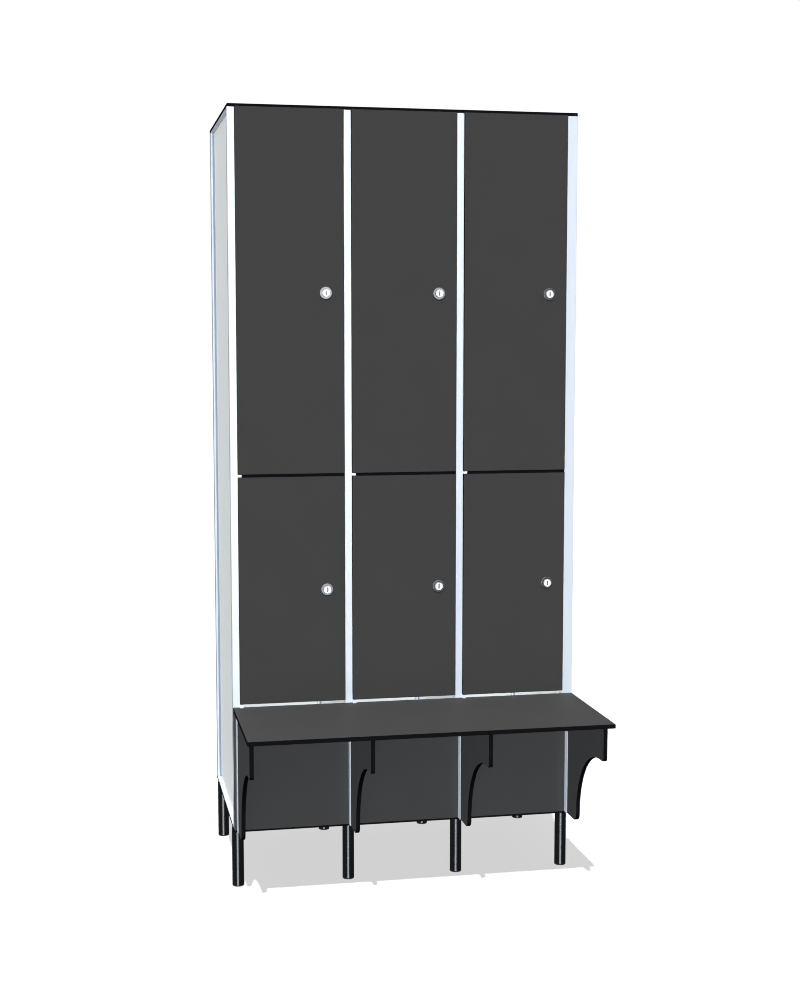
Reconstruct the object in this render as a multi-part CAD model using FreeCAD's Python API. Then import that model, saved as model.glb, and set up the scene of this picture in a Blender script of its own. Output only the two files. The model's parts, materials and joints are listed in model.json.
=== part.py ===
"""Mudroom locker unit: three columns of two lockers in aluminium frames, on legs, with a bench in front.

Millimetres, +Z up. The origin is on the floor, at the middle of the unit's footprint. The doors face -Y.
"""
import FreeCAD, Part
import math
import os

from FreeCAD import Vector

# Whole unit
columns = 3
pitch = 275.0
frame_depth = 500.0
upright_length = 1722.0
leg_height = 147.0
seat_height = 456.0
seat_depth = 340.0

# Laminate sheets
top_thickness = 8.0
base_thickness = 8.0
shelf_thickness = 8.0
door_thickness = 8.0
seat_thickness = 10.0
apron_thickness = 10.0
bracket_thickness = 10.0
side_panel_thickness = 4.0
back_panel_thickness = 4.0
sheet_chamfer = 0.8

# Aluminium upright, a square section with a glazing recess for the side panel
profile = 25.0
profile_corner = 1.0
profile_wall = 2.0
lip_width = 4.5
recess_depth = 4.0
panel_slot_depth = 8.0
side_slot_depth = 5.0
side_slot_setback = 5.0
panel_clearance = 0.2
slot_end_clearance = 0.4
rail_thickness = 1.5

# Doors on pivots
door_overlap = 8.75
door_side_gap = 2.0
door_back_gap = 2.0
door_seam = 6.0
door_seat_gap = 8.5
door_top_lap = 1.0
pivot_radius = 2.0
pivot_depth = 12.0
pivot_clearance = 0.05
pivot_end_gap = 0.3
top_block_height = 4.7

# Cam locks
lock_backset = 44.0
lock_flange_radius = 14.75
lock_flange_thickness = 2.5
lock_flange_chamfer = 0.8
lock_body_radius = 9.5
lock_body_length = 16.0
lock_head_radius = 9.5
lock_head_proud = 5.0
lock_head_seat = 1.0
lock_face_radius = 9.0
lock_face_taper = 0.6
lock_plug_radius = 6.0
lock_tail_radius = 3.0
lock_nut_sides = 6
lock_nut_flats = 24.0
lock_nut_thickness = 5.0
keyway_width = 3.0
keyway_height = 11.5
keyway_depth = 3.5
cam_length = 41.0
cam_width = 14.0
cam_thickness = 2.0
cam_screw_radius = 1.5
cam_screw_depth = 6.0
cam_screw_head_radius = 4.5
cam_screw_head_height = 2.5
lock_running_gap = 0.3
lock_fit_clearance = 0.05

# Strike plates
strike_thickness = 2.0
strike_reach = 12.0
strike_height = 50.0
strike_corner = 2.0
strike_cam_gap = 1.0
strike_screw_spacing = 30.0

# Bench brackets and their channels
bracket_overhang = 35.0
bracket_nose_share = 0.3024
bracket_nose_flat = 23.0
bracket_arc_share = 0.8867
bracket_nose_corner = 10.0
bracket_toe_share = 0.87
channel_wall = 2.0
channel_depth = 19.0
channel_clearance = 0.1
dowel_radius = 3.0
dowel_in_seat = 6.0
dowel_in_bracket = 20.0
dowel_inset_share = 0.2

# Legs
leg_radius = 14.5
leg_wall = 2.0
leg_inset = 45.0
leg_cap_thickness = 6.0
leg_foot_thickness = 3.0
leg_plug_depth = 15.0
leg_plug_clearance = 0.1
stud_radius = 4.0
stud_in_base = 6.5

# Shelf fittings, coat pegs and screws
shelf_pin_radius = 3.0
shelf_pin_in_upright = 7.0
shelf_pin_reach = 9.0
shelf_pin_setback = 15.0
shelf_clearance = 0.5
peg_base_radius = 15.0
peg_base_thickness = 4.0
peg_stem_radius = 5.0
peg_length = 52.0
peg_knob_radius = 9.0
peg_knob_thickness = 10.0
peg_knob_round_share = 0.3
peg_drop = 130.0
screw_radius = 2.0
screw_head_radius = 4.5
screw_head_height = 2.0
screw_port_setback = 8.9
port_screw_length = 32.0
channel_screw_grip = 5.0
channel_screw_end = 40.0
strike_screw_length = 9.0
hole_clearance = 0.1
overrun = 2.0

# Places that follow from the sizes above
width = columns * pitch + profile
x_left = -width / 2
x_right = width / 2
y_bench = -(frame_depth + seat_depth) / 2
y_front = y_bench + seat_depth
y_back = y_front + frame_depth
base_top = leg_height + base_thickness
frame_top = base_top + upright_length
unit_top = frame_top + top_thickness
shelf_middle = (base_top + frame_top) / 2
seat_bottom = seat_height - seat_thickness
apron_front = y_front - apron_thickness
door_back = y_front - door_back_gap
door_front = door_back - door_thickness
pivot_y = door_back - door_thickness / 2
side_slot = back_panel_thickness + 2 * panel_clearance
panel_slot = side_panel_thickness + 2 * panel_clearance
back_panel_rear = y_back - side_slot_setback - panel_clearance
back_panel_front = back_panel_rear - back_panel_thickness
shelf_pin_z = shelf_middle - shelf_thickness / 2 - shelf_pin_radius
body_end = -(door_thickness + lock_body_length)
cam_face = body_end - lock_running_gap
cam_rear = cam_face - cam_thickness
strike_front = door_back + pivot_end_gap
strike_rear = door_front - cam_face - strike_cam_gap
strike_screw_y = (strike_front + strike_rear) / 2
channel_face = apron_front - channel_wall
channel_screw_length = channel_wall + apron_thickness + channel_screw_grip
channel_screw_heights = (
    base_top + channel_screw_end,
    (base_top + seat_bottom) / 2,
    seat_bottom - channel_screw_end,
)
bracket_back = channel_face
bracket_front = y_bench + bracket_overhang
bracket_height = seat_bottom - base_top
bracket_nose_height = bracket_nose_share * bracket_height
bracket_arc_radius = bracket_arc_share * (bracket_height - bracket_nose_height)
bracket_toe_height = bracket_height - bracket_nose_height - bracket_arc_radius
bracket_toe_corner = bracket_toe_share * bracket_toe_height
bracket_toe = bracket_front + bracket_nose_flat + bracket_arc_radius
tiers = {
    "lower": (seat_height + door_seat_gap, shelf_middle - door_seam / 2),
    "upper": (shelf_middle + door_seam / 2, frame_top + door_top_lap),
}
compartment_tops = (shelf_middle - shelf_thickness / 2, frame_top)
uprights = range(columns + 1)
lockers = range(columns)


def upright_x(index):
    """Left face of an upright."""
    return x_left + index * pitch


def upright_middle(index):
    """Middle plane of an upright."""
    return upright_x(index) + profile / 2


def box(low, high):
    """Block between two corners."""
    size = Vector(*high) - Vector(*low)
    return Part.makeBox(size.x, size.y, size.z, Vector(*low))


def sheet(low, high):
    """Laminate board with broken edges."""
    board = box(low, high)
    return board.makeChamfer(sheet_chamfer, board.Edges)


def rounded_outline(corners):
    """Closed wire through (u, v, radius) corners in the XY plane, with tangent arcs at the radii."""
    edges = []
    stretches = []
    count = len(corners)
    for index, (u, v, radius) in enumerate(corners):
        here = Vector(u, v, 0)
        before = Vector(*corners[index - 1][:2], 0) - here
        after = Vector(*corners[(index + 1) % count][:2], 0) - here
        if radius == 0:
            stretches.append((here, here))
            continue
        before.normalize()
        after.normalize()
        half = before.getAngle(after) / 2
        start = here + before * (radius / math.tan(half))
        end = here + after * (radius / math.tan(half))
        inward = before + after
        inward.normalize()
        middle = here + inward * (radius / math.sin(half) - radius)
        edges.append(Part.Arc(start, middle, end).toShape())
        stretches.append((start, end))
    for index in range(count):
        start = stretches[index - 1][1]
        end = stretches[index][0]
        edges.append(Part.LineSegment(start, end).toShape())
    return Part.Wire(Part.__sortEdges__(edges))


def prism(corners, low, high):
    """Rounded outline in the XY plane, drawn up from one height to another."""
    face = Part.Face(rounded_outline(corners))
    face.translate(Vector(0, 0, low))
    return face.extrude(Vector(0, 0, high - low))


def turned(points):
    """Solid of revolution about the Z axis from (radius, height) points."""
    corners = [Vector(radius, 0, height) for radius, height in points]
    wire = Part.makePolygon(corners + corners[:1])
    return Part.Face(wire).revolve(Vector(0, 0, 0), Vector(0, 0, 1), 360)


def rod(radius, length):
    """Plain round bar from the origin along Z."""
    return Part.makeCylinder(radius, length)


def aim(shape, place, direction):
    """Copy of a shape made along Z, turned to a direction and set at a place."""
    turn = FreeCAD.Rotation(Vector(0, 0, 1), Vector(*direction))
    return shape.transformed(FreeCAD.Placement(Vector(*place), turn).toMatrix())


def countersunk_screw(length, clearance=0.0, lead=0.0):
    """Flat-head screw from its head face along Z, or the cut for it with a clearance and a lead."""
    head = screw_head_radius + clearance
    shank = screw_radius + clearance
    return turned([
        (0, -lead),
        (head, -lead),
        (head, 0),
        (shank, screw_head_height),
        (shank, length),
        (0, length),
    ])


def save(node, *solids):
    """Write the solids of one node."""
    shape = solids[0] if len(solids) == 1 else Part.makeCompound(list(solids))
    shape.exportStep("parts/" + node + ".step")


# Aluminium uprights

def upright_section():
    """Corners of the front upright's section, its outer face on Y = 0 and its panel recess at the back."""
    middle = profile / 2
    recess_floor = profile - recess_depth
    slot_floor = recess_floor - panel_slot_depth
    recess_foot = lip_width + recess_depth
    slot_far = side_slot_setback + side_slot
    left_half = [
        (0, 0, profile_corner),
        (0, side_slot_setback, 0),
        (side_slot_depth, side_slot_setback, 0),
        (side_slot_depth, slot_far, 0),
        (0, slot_far, 0),
        (0, profile, profile_corner),
        (lip_width, profile, 0),
        (recess_foot, recess_floor, 0),
        (middle - panel_slot / 2, recess_floor, 0),
        (middle - panel_slot / 2, slot_floor, 0),
    ]
    right_half = [(profile - u, v, radius) for u, v, radius in reversed(left_half)]
    return left_half + right_half


def upright_chamber(side):
    """Hollow beside the panel slot, on the left (-1) or right (1) of the section."""
    near = profile / 2 + side * (panel_slot / 2 + profile_wall)
    far = profile / 2 + side * (profile / 2 - profile_wall)
    front = side_slot_setback + side_slot + profile_wall
    rear = profile - recess_depth - profile_wall
    return box((min(near, far), front, base_top - overrun), (max(near, far), rear, frame_top + overrun))


def front_extrusion():
    """Front upright at X = 0, Y = 0, with its two hollows and its screw port."""
    bar = prism(upright_section(), base_top, frame_top)
    port = rod(screw_radius + hole_clearance, upright_length + 2 * overrun)
    port.translate(Vector(profile / 2, screw_port_setback, base_top - overrun))
    return bar.cut([upright_chamber(-1), upright_chamber(1), port])


def locker_sides(index):
    """Sides of an upright, -1 for left and 1 for right, that have a locker beside them."""
    return [side for side in (-1, 1) if 0 <= index + (side - 1) / 2 < columns]


def side_face(index, side):
    """X of an upright's left or right face."""
    return upright_middle(index) + side * profile / 2


def shelf_pin_cuts(index, pin_y):
    """Holes for the shelf pins in one upright."""
    hole = rod(shelf_pin_radius + hole_clearance, shelf_pin_in_upright + overrun)
    cuts = []
    for side in locker_sides(index):
        mouth = side_face(index, side) + side * overrun
        cuts.append(aim(hole, (mouth, pin_y, shelf_pin_z), (-side, 0, 0)))
    return cuts


def strike_screw_places(index):
    """Heads of the strike plate screws on the left face of an upright."""
    plate_face = upright_x(index) - strike_thickness
    heights = []
    for low, high in tiers.values():
        middle = (low + high) / 2
        heights += [middle - strike_screw_spacing / 2, middle + strike_screw_spacing / 2]
    return [(plate_face, strike_screw_y, height) for height in heights]


def channel_screw_places(index):
    """Head centres of the screws behind one bracket."""
    return [(upright_middle(index), channel_face, height) for height in channel_screw_heights]


def channel_screw_cuts(index):
    """Cuts for the screws through channel, apron and upright."""
    cut = countersunk_screw(channel_screw_length, hole_clearance, overrun)
    return [aim(cut, place, (0, 1, 0)) for place in channel_screw_places(index)]


def strike_screw_cuts(index):
    """Cuts for the screws through the strike plates into one upright."""
    cut = countersunk_screw(strike_screw_length, hole_clearance, overrun)
    return [aim(cut, place, (1, 0, 0)) for place in strike_screw_places(index)]


def make_uprights():
    """Front and rear uprights of the four frames."""
    extrusion = front_extrusion()
    for index in uprights:
        front = extrusion.translated(Vector(upright_x(index), y_front, 0))
        cuts = shelf_pin_cuts(index, y_front + shelf_pin_setback) + channel_screw_cuts(index)
        if index > 0:
            cuts += strike_screw_cuts(index)
        save("front_upright_%d" % (index + 1), front.cut(cuts))
        rear = extrusion.mirror(Vector(0, 0, 0), Vector(0, 1, 0))
        rear = rear.translated(Vector(upright_x(index), y_back, 0))
        save("rear_upright_%d" % (index + 1), rear.cut(shelf_pin_cuts(index, y_back - shelf_pin_setback)))


# Boards, panels and rails

def port_places():
    """Places of the screw ports seen from above."""
    return [
        (upright_middle(index), y)
        for index in uprights
        for y in (y_front + screw_port_setback, y_back - screw_port_setback)
    ]


def leg_places():
    """Leg axes on the floor."""
    return [
        (upright_middle(index), y)
        for index in uprights
        for y in (y_front + leg_inset, y_back - leg_inset)
    ]


def make_top_and_base():
    """Top panel and base panel with the screws that hold them to the uprights."""
    cut = countersunk_screw(port_screw_length, hole_clearance, overrun)
    screw = countersunk_screw(port_screw_length)
    top_cuts = [aim(cut, (x, y, unit_top), (0, 0, -1)) for x, y in port_places()]
    base_cuts = [aim(cut, (x, y, leg_height), (0, 0, 1)) for x, y in port_places()]
    stud_hole = rod(stud_radius + hole_clearance, stud_in_base + overrun + hole_clearance)
    base_cuts += [aim(stud_hole, (x, y, leg_height - overrun), (0, 0, 1)) for x, y in leg_places()]
    save("top_panel", sheet((x_left, y_front, frame_top), (x_right, y_back, unit_top)).cut(top_cuts))
    save("base_panel", sheet((x_left, y_front, leg_height), (x_right, y_back, base_top)).cut(base_cuts))
    screws = [aim(screw, (x, y, unit_top), (0, 0, -1)) for x, y in port_places()]
    screws += [aim(screw, (x, y, leg_height), (0, 0, 1)) for x, y in port_places()]
    save("panel_screws", *screws)


def make_frame_panels():
    """Rails and panels of the four side frames."""
    rail_front = y_front + profile
    rail_rear = y_back - profile
    rail_under = frame_top - rail_thickness
    rail_over = base_top + rail_thickness
    reach = profile - recess_depth - panel_slot_depth + slot_end_clearance
    top_rails = []
    bottom_rails = []
    names = ["divider_panel_%d" % index for index in uprights]
    names[0] = "side_panel_left"
    names[-1] = "side_panel_right"
    for index, name in zip(uprights, names):
        left = upright_x(index)
        right = left + profile
        middle = upright_middle(index)
        top_rails.append(box((left, rail_front, rail_under), (right, rail_rear, frame_top)))
        bottom_rails.append(box((left, rail_front, base_top), (right, rail_rear, rail_over)))
        low = (middle - side_panel_thickness / 2, y_front + reach, rail_over)
        high = (middle + side_panel_thickness / 2, y_back - reach, rail_under)
        save(name, box(low, high))
    save("top_rails", *top_rails)
    save("bottom_rails", *bottom_rails)


def make_back_panels():
    """Back panels, held in the side slots of the rear uprights."""
    inset = side_slot_depth - slot_end_clearance
    for index in lockers:
        left = upright_x(index) + profile - inset
        right = upright_x(index + 1) + inset
        panel = box((left, back_panel_front, base_top), (right, back_panel_rear, frame_top))
        save("back_panel_%d" % (index + 1), panel)


def make_tier_shelves():
    """Shelves between the tiers, notched round the uprights, on four pins each."""
    pin = rod(shelf_pin_radius, shelf_pin_in_upright + shelf_pin_reach)
    pins = []
    rear = back_panel_front - shelf_clearance
    front_notch = y_front + profile + shelf_clearance
    rear_notch = y_back - profile - shelf_clearance
    for index in lockers:
        narrow_left = upright_x(index) + profile + shelf_clearance
        narrow_right = upright_x(index + 1) - shelf_clearance
        wide_left = upright_middle(index) + side_panel_thickness / 2 + shelf_clearance
        wide_right = upright_middle(index + 1) - side_panel_thickness / 2 - shelf_clearance
        outline = [
            (narrow_left, y_front, 0),
            (narrow_right, y_front, 0),
            (narrow_right, front_notch, 0),
            (wide_right, front_notch, 0),
            (wide_right, rear_notch, 0),
            (narrow_right, rear_notch, 0),
            (narrow_right, rear, 0),
            (narrow_left, rear, 0),
            (narrow_left, rear_notch, 0),
            (wide_left, rear_notch, 0),
            (wide_left, front_notch, 0),
            (narrow_left, front_notch, 0),
        ]
        shelf = prism(outline, shelf_middle - shelf_thickness / 2, shelf_middle + shelf_thickness / 2)
        save("tier_shelf_%d" % (index + 1), shelf)
    for index in uprights:
        for side in locker_sides(index):
            inner_end = side_face(index, side) - side * shelf_pin_in_upright
            for y in (y_front + shelf_pin_setback, y_back - shelf_pin_setback):
                pins.append(aim(pin, (inner_end, y, shelf_pin_z), (side, 0, 0)))
    save("shelf_pins", *pins)


def make_coat_pegs():
    """One peg on the back wall of each compartment."""
    knob_start = peg_length - peg_knob_thickness
    knob_round = peg_knob_round_share * peg_knob_thickness
    points = [
        (0, 0),
        (peg_base_radius, 0),
        (peg_base_radius, peg_base_thickness / 2),
        (peg_stem_radius, peg_base_thickness),
        (peg_stem_radius, knob_start),
        (peg_knob_radius, knob_start + knob_round),
        (peg_knob_radius, peg_length - knob_round),
        (peg_stem_radius, peg_length),
        (0, peg_length),
    ]
    peg = turned(points)
    pegs = []
    for index in lockers:
        middle = upright_middle(index) + pitch / 2
        for ceiling in compartment_tops:
            pegs.append(aim(peg, (middle, back_panel_front, ceiling - peg_drop), (0, -1, 0)))
    save("coat_pegs", *pegs)


# Bench

def dowel_places():
    """Dowel axes between seat and brackets."""
    inset = dowel_inset_share * (bracket_back - bracket_front)
    return [
        (upright_middle(index), y)
        for index in uprights
        for y in (bracket_front + inset, bracket_back - inset)
    ]


def bench_bracket():
    """Bracket plate across X = 0 with a nose under the seat and a concave quarter-round front."""
    nose_bottom = seat_bottom - bracket_nose_height
    outline = [
        (bracket_back, base_top, 0),
        (bracket_toe, base_top, bracket_toe_corner),
        (bracket_toe, nose_bottom, bracket_arc_radius),
        (bracket_front, nose_bottom, bracket_nose_corner),
        (bracket_front, seat_bottom, 0),
        (bracket_back, seat_bottom, 0),
    ]
    plate = prism(outline, -bracket_thickness / 2, bracket_thickness / 2)
    plate = plate.makeChamfer(sheet_chamfer, plate.Edges)
    on_edge = FreeCAD.Matrix(0, 0, 1, 0, 1, 0, 0, 0, 0, 1, 0, 0)
    return plate.transformed(on_edge)


def bracket_channel():
    """U channel about X = 0, open to the front."""
    outer = bracket_thickness / 2 + channel_clearance + channel_wall
    inner = bracket_thickness / 2 + channel_clearance
    front = apron_front - channel_depth
    outline = [
        (-outer, apron_front, 0),
        (outer, apron_front, 0),
        (outer, front, 0),
        (inner, front, 0),
        (inner, channel_face, 0),
        (-inner, channel_face, 0),
        (-inner, front, 0),
        (-outer, front, 0),
    ]
    return prism(outline, base_top, seat_bottom)


def make_bench():
    """Seat, apron, brackets, channels, dowels and channel screws."""
    dowel = rod(dowel_radius, dowel_in_seat + dowel_in_bracket)
    socket = rod(dowel_radius + hole_clearance, dowel_in_seat + dowel_in_bracket + 2 * hole_clearance)
    low = seat_bottom - dowel_in_bracket
    dowels = [aim(dowel, (x, y, low), (0, 0, 1)) for x, y in dowel_places()]
    sockets = [aim(socket, (x, y, low - hole_clearance), (0, 0, 1)) for x, y in dowel_places()]
    seat = sheet((x_left, y_bench, seat_bottom), (x_right, y_front, seat_height))
    save("bench_seat", seat.cut(sockets))
    save("seat_dowels", *dowels)
    plate = bench_bracket()
    channel = bracket_channel()
    channels = []
    screw = countersunk_screw(channel_screw_length)
    screws = []
    apron_cuts = []
    for index in uprights:
        middle = Vector(upright_middle(index), 0, 0)
        cuts = channel_screw_cuts(index)
        apron_cuts += cuts
        save("bench_bracket_%d" % (index + 1), plate.translated(middle).cut(sockets))
        channels.append(channel.translated(middle).cut(cuts))
        screws += [aim(screw, place, (0, 1, 0)) for place in channel_screw_places(index)]
    apron = box((x_left, apron_front, base_top), (x_right, y_front, seat_bottom))
    save("apron_panel", apron.cut(apron_cuts))
    save("bracket_channels", *channels)
    save("channel_screws", *screws)


# Legs

def make_legs():
    """Leg tubes with closed tops, the studs that hold them and the plugs they stand on."""
    bore = leg_radius - leg_wall
    cap = leg_height - leg_cap_thickness
    stud_hole = stud_radius + hole_clearance
    plug_radius = bore - leg_plug_clearance
    tube = turned([
        (bore, leg_foot_thickness),
        (leg_radius, leg_foot_thickness),
        (leg_radius, leg_height),
        (stud_hole, leg_height),
        (stud_hole, cap),
        (bore, cap),
    ])
    plug = turned([
        (0, 0),
        (leg_radius, 0),
        (leg_radius, leg_foot_thickness),
        (plug_radius, leg_foot_thickness),
        (plug_radius, leg_plug_depth),
        (0, leg_plug_depth),
    ])
    stud = rod(stud_radius, leg_cap_thickness + stud_in_base)
    places = leg_places()
    save("leg_tubes", *[tube.translated(Vector(x, y, 0)) for x, y in places])
    save("leg_end_plugs", *[plug.translated(Vector(x, y, 0)) for x, y in places])
    save("leg_studs", *[stud.translated(Vector(x, y, cap)) for x, y in places])


# Doors and their pivots

def door_left(index):
    """Hinge edge of the doors in one column."""
    return upright_x(index) + profile - door_overlap


def door_right(index):
    """Lock edge of the doors in one column."""
    return upright_x(index + 1) - door_side_gap


def pivot_x(index):
    """Pivot axis of the doors in one column."""
    return door_left(index) + door_thickness / 2


def lock_x(index):
    """Lock axis of the doors in one column."""
    return door_right(index) - lock_backset


def make_door(name, index, low, high):
    """Door board with its pivot holes and lock hole."""
    board = sheet((door_left(index), door_front, low), (door_right(index), door_back, high))
    pivot_hole = rod(pivot_radius + pivot_clearance, pivot_depth + overrun + pivot_end_gap)
    lock_hole = rod(lock_body_radius + hole_clearance, door_thickness + 2 * overrun)
    cuts = [
        aim(pivot_hole, (pivot_x(index), pivot_y, low - overrun), (0, 0, 1)),
        aim(pivot_hole, (pivot_x(index), pivot_y, high + overrun), (0, 0, -1)),
        aim(lock_hole, (lock_x(index), door_front - overrun, (low + high) / 2), (0, 1, 0)),
    ]
    save(name, board.cut(cuts))


def make_pivots():
    """Blocks on the uprights and the pins that the doors turn on."""
    lower_low, lower_high = tiers["lower"]
    upper_low, upper_high = tiers["upper"]
    spans = {
        "bottom": (seat_height, lower_low - pivot_end_gap),
        "seam": (lower_high + pivot_end_gap, upper_low - pivot_end_gap),
        "top": (upper_high + pivot_end_gap, upper_high + pivot_end_gap + top_block_height),
    }
    pin_spans = (
        (seat_height, lower_low + pivot_depth),
        (lower_high - pivot_depth, upper_low + pivot_depth),
        (upper_high - pivot_depth, spans["top"][1]),
    )
    blocks = {"bottom": [], "seam": [], "top": []}
    pins = []
    for index in lockers:
        axis = (pivot_x(index), pivot_y)
        for place, (low, high) in spans.items():
            block = box((door_left(index), door_front, low), (upright_x(index) + profile, y_front, high))
            hole = rod(pivot_radius + pivot_clearance, high - low + 2 * overrun)
            blocks[place].append(block.cut(aim(hole, (*axis, low - overrun), (0, 0, 1))))
        for low, high in pin_spans:
            pins.append(aim(rod(pivot_radius, high - low), (*axis, low), (0, 0, 1)))
    save("pivot_blocks", *blocks["bottom"], *blocks["seam"])
    save("top_pivot_blocks", *blocks["top"])
    save("pivot_pins", *pins)


def make_strikes():
    """Strike plates that stop the doors and hold the cams, with their screws."""
    screw = countersunk_screw(strike_screw_length)
    plates = []
    screws = []
    for index in lockers:
        face = upright_x(index + 1)
        web = face - strike_thickness
        tip = face - strike_reach
        front_inner = strike_front + strike_thickness
        rear_inner = strike_rear - strike_thickness
        outline = [
            (face, strike_front, strike_corner),
            (face, strike_rear, strike_corner),
            (tip, strike_rear, 0),
            (tip, rear_inner, 0),
            (web, rear_inner, 0),
            (web, front_inner, 0),
            (tip, front_inner, 0),
            (tip, strike_front, 0),
        ]
        cuts = strike_screw_cuts(index + 1)
        for low, high in tiers.values():
            middle = (low + high) / 2
            plate = prism(outline, middle - strike_height / 2, middle + strike_height / 2)
            plates.append(plate.cut(cuts))
        screws += [aim(screw, place, (1, 0, 0)) for place in strike_screw_places(index + 1)]
    save("strike_plates", *plates)
    save("strike_screws", *screws)


# Cam locks, drawn about the Z axis with the door's front face on Z = 0 and the key side up

def lock_housing():
    """Flanged housing with the bore and seat for the cylinder."""
    bore = lock_plug_radius + lock_fit_clearance
    seat_radius = lock_head_radius + lock_running_gap
    seat_floor = lock_flange_thickness - lock_head_seat
    return turned([
        (bore, body_end),
        (lock_body_radius, body_end),
        (lock_body_radius, 0),
        (lock_flange_radius, 0),
        (lock_flange_radius, lock_flange_thickness - lock_flange_chamfer),
        (lock_flange_radius - lock_flange_chamfer, lock_flange_thickness),
        (seat_radius, lock_flange_thickness),
        (seat_radius, seat_floor),
        (bore, seat_floor),
    ])


def lock_nut():
    """Hexagon nut on the housing behind the door."""
    step = 2 * math.pi / lock_nut_sides
    corner = lock_nut_flats / 2 / math.cos(step / 2)
    turns = [step * side for side in range(lock_nut_sides)]
    outline = [(corner * math.cos(turn), corner * math.sin(turn), 0) for turn in turns]
    rear = -door_thickness - lock_nut_thickness
    nut = prism(outline, rear, -door_thickness)
    hole = rod(lock_body_radius + hole_clearance, lock_nut_thickness + 2 * overrun)
    return nut.cut(hole.translated(Vector(0, 0, rear - overrun)))


def lock_plug():
    """Turning cylinder with a proud head, its face edge broken, a keyway and a tail for the cam."""
    head_front = lock_flange_thickness + lock_head_proud
    head_back = lock_flange_thickness - lock_head_seat + lock_running_gap
    screw_hole = cam_screw_radius + lock_fit_clearance
    plug = turned([
        (screw_hole, cam_rear),
        (lock_tail_radius, cam_rear),
        (lock_tail_radius, cam_face),
        (lock_plug_radius, cam_face),
        (lock_plug_radius, head_back),
        (lock_head_radius, head_back),
        (lock_head_radius, head_front - lock_face_taper),
        (lock_face_radius, head_front),
        (0, head_front),
        (0, cam_rear + cam_screw_depth),
        (screw_hole, cam_rear + cam_screw_depth),
    ])
    keyway = box(
        (-keyway_width / 2, -keyway_height / 2, head_front - keyway_depth),
        (keyway_width / 2, keyway_height / 2, head_front + overrun),
    )
    return plug.cut(keyway)


def lock_cam():
    """Cam plate that points down when the lock is open."""
    half = cam_width / 2
    rounding = half - hole_clearance
    outline = [
        (-half, half, rounding),
        (half, half, rounding),
        (half, -cam_length, rounding),
        (-half, -cam_length, rounding),
    ]
    plate = prism(outline, cam_rear, cam_face)
    hole = rod(lock_tail_radius + lock_fit_clearance, cam_thickness + 2 * overrun)
    return plate.cut(hole.translated(Vector(0, 0, cam_rear - overrun)))


def cam_screw():
    """Screw that holds the cam on the cylinder."""
    head_rear = cam_rear - cam_screw_head_height
    tip = cam_rear + cam_screw_depth - lock_running_gap
    return turned([
        (0, head_rear),
        (cam_screw_head_radius, head_rear),
        (cam_screw_head_radius, cam_rear),
        (cam_screw_radius, cam_rear),
        (cam_screw_radius, tip),
        (0, tip),
    ])


def lay_lock(shape, index, height):
    """Lock piece set into its door, its key side to the front."""
    to_front = FreeCAD.Matrix(1, 0, 0, lock_x(index), 0, 0, -1, door_front, 0, 1, 0, height)
    return shape.transformed(to_front)


def make_doors_and_locks():
    """Six doors, each with its lock."""
    fixed = [lock_housing(), lock_nut()]
    turning = [lock_plug(), lock_cam(), cam_screw()]
    for tier, (low, high) in tiers.items():
        middle = (low + high) / 2
        for index in lockers:
            name = "%s_%d" % (tier, index + 1)
            make_door("door_" + name, index, low, high)
            save("lock_housing_" + name, *[lay_lock(shape, index, middle) for shape in fixed])
            save("lock_cylinder_" + name, *[lay_lock(shape, index, middle) for shape in turning])


def main():
    """Write every node."""
    os.makedirs("parts", exist_ok=True)
    make_uprights()
    make_top_and_base()
    make_frame_panels()
    make_back_panels()
    make_tier_shelves()
    make_coat_pegs()
    make_bench()
    make_legs()
    make_pivots()
    make_strikes()
    make_doors_and_locks()


main()
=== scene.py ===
"""Looks of a mudroom locker unit: boards, aluminium frames, cam locks, bench and legs in a white studio."""

import json
import logging
import math
from dataclasses import dataclass, replace
from enum import Enum
from typing import Iterable, Sequence

import bpy
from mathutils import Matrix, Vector

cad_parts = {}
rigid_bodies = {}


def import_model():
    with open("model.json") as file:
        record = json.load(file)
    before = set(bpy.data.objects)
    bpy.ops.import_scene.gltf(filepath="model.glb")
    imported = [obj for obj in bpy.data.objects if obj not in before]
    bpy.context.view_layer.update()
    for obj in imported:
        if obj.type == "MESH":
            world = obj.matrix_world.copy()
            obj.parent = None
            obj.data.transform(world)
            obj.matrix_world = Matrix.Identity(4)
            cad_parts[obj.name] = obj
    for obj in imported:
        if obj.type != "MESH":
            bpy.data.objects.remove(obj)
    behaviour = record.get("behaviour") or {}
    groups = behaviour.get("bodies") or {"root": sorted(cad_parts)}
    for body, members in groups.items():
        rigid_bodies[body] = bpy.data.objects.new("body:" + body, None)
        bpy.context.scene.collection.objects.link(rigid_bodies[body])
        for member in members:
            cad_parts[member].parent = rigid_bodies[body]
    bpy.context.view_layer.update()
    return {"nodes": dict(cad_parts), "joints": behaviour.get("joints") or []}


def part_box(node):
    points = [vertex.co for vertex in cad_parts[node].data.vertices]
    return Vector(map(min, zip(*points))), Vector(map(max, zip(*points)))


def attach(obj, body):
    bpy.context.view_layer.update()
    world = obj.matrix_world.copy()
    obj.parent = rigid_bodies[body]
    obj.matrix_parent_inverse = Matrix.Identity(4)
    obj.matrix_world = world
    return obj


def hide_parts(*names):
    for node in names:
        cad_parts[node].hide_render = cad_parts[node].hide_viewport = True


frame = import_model()
CABINET = "cabinet"
COLUMNS = (1, 2, 3)
FRAMES = (1, 2, 3, 4)
LOG = logging.getLogger("locker_unit")

Colour = tuple[float, float, float, float]
Point = tuple[float, float, float]
Waves = tuple[float, float]
Piece = bpy.types.Object
Material = bpy.types.Material
WHITE = (1.0, 1.0, 1.0, 1.0)
HEXAGON = 6
SOCKET_TURN = 2.25
LAMP_DISTANCE = 3.0


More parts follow.
